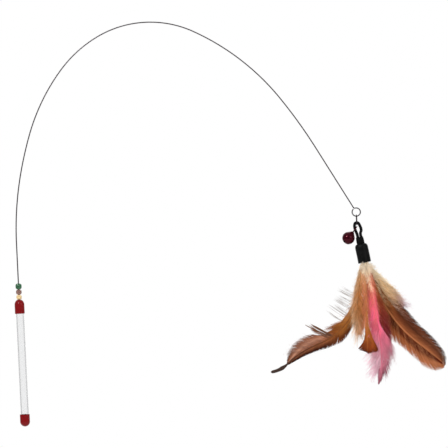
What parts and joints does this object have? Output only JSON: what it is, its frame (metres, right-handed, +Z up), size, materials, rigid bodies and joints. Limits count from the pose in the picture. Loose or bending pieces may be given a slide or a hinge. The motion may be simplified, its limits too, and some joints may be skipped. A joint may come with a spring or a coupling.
{
  "type": "cat teaser wand",
  "caption": "Cat teaser wand: a clear handle with red caps and beads, a springy wire arch, and a lure of coloured feathers with a bell on its end.",
  "frame": {"origin": "on the handle's axis, halfway up the straight wall of the bottom cap", "axes": "+Z up the handle, +X from the handle towards the lure, +Y away from the viewer of the picture"},
  "size_m": [0.4297, 0.0618, 0.3986],
  "materials": {
    "clear_tube": "clear, glossy",
    "red_cap": "glossy",
    "plug": "matte",
    "crimp": "dull",
    "cream_bead": "glossy",
    "tan_bead": "glossy, a little see-through",
    "green_bead": "glossy",
    "wire_steel": "drawn wire",
    "dark_steel": "gunmetal",
    "black_cord": "waxed",
    "black_rubber": "satin",
    "glue": "dull",
    "brown_feather": "barbed",
    "golden_feather": "barbed",
    "pink_feather": "barbed",
    "maroon_feather": "barbed",
    "cream_feather": "downy",
    "bell_red": "lacquered",
    "pellet_steel": "bare"
  },
  "bodies": {
    "handle": {"handle_tube": "clear_tube", "bottom_cap": "red_cap", "top_cap": "red_cap", "wire_plug": "plug", "wire_crimp": "crimp"},
    "cream_bead": {"cream_bead": "cream_bead"},
    "tan_bead": {"tan_bead": "tan_bead"},
    "green_bead": {"green_bead": "green_bead"},
    "wire": {"spring_wire": "wire_steel"},
    "link": {"jump_ring": "dark_steel"},
    "lure": {"cord_loop": "black_cord", "loop_binding": "black_rubber", "lure_sleeve": "black_rubber", "glue_plug": "glue", "left_brown_feather": "brown_feather", "golden_feather": "golden_feather", "short_brown_feather": "brown_feather", "pink_feather": "pink_feather", "maroon_feather": "maroon_feather", "right_lower_feather": "brown_feather", "right_upper_feather": "brown_feather", "tan_fluff_feather": "cream_feather", "cream_down_feather": "cream_feather"},
    "bell": {"bell_top_shell": "bell_red", "bell_bottom_shell": "bell_red", "bell_shank": "bell_red"},
    "pellet": {"bell_pellet": "pellet_steel"}
  },
  "joints": [
    {"name": "cream_bead_spin", "type": "hinge", "parent": "handle", "child": "cream_bead", "pos_m": [0, 0, 0.1209], "axis": [0, 0, 1], "continuous": true},
    {"name": "tan_bead_spin", "type": "hinge", "parent": "handle", "child": "tan_bead", "pos_m": [0, 0, 0.126], "axis": [0, 0, 1], "continuous": true},
    {"name": "green_bead_spin", "type": "hinge", "parent": "handle", "child": "green_bead", "pos_m": [0, 0, 0.1317], "axis": [0, 0, 1], "continuous": true},
    {"name": "wire_flex", "type": "hinge", "parent": "handle", "child": "wire", "pos_m": [0, 0, 0.13475], "axis": [0, 1, 0], "range_deg": [-25, 25], "stiffness_Nm_per_rad": 0.08, "springref_deg": -21.25, "deforming": ["spring_wire"]},
    {"name": "ring_swing", "type": "hinge", "parent": "wire", "child": "link", "pos_m": [0.34086, 0, 0.18563], "axis": [1, 0, 0], "range_deg": [-50, 50]},
    {"name": "lure_swing", "type": "hinge", "parent": "link", "child": "lure", "pos_m": [0.34086, 0, 0.17694], "axis": [0, 1, 0], "range_deg": [-60, 50]},
    {"name": "bell_swing", "type": "hinge", "parent": "lure", "child": "bell", "pos_m": [0.33881, 0, 0.17266], "axis": [0, 1, 0], "range_deg": [0, 55]},
    {"name": "pellet_roll", "type": "hinge", "parent": "bell", "child": "pellet", "pos_m": [0.33189, 0, 0.16411], "axis": [0, 1, 0], "range_deg": [-70, 70]}
  ]
}
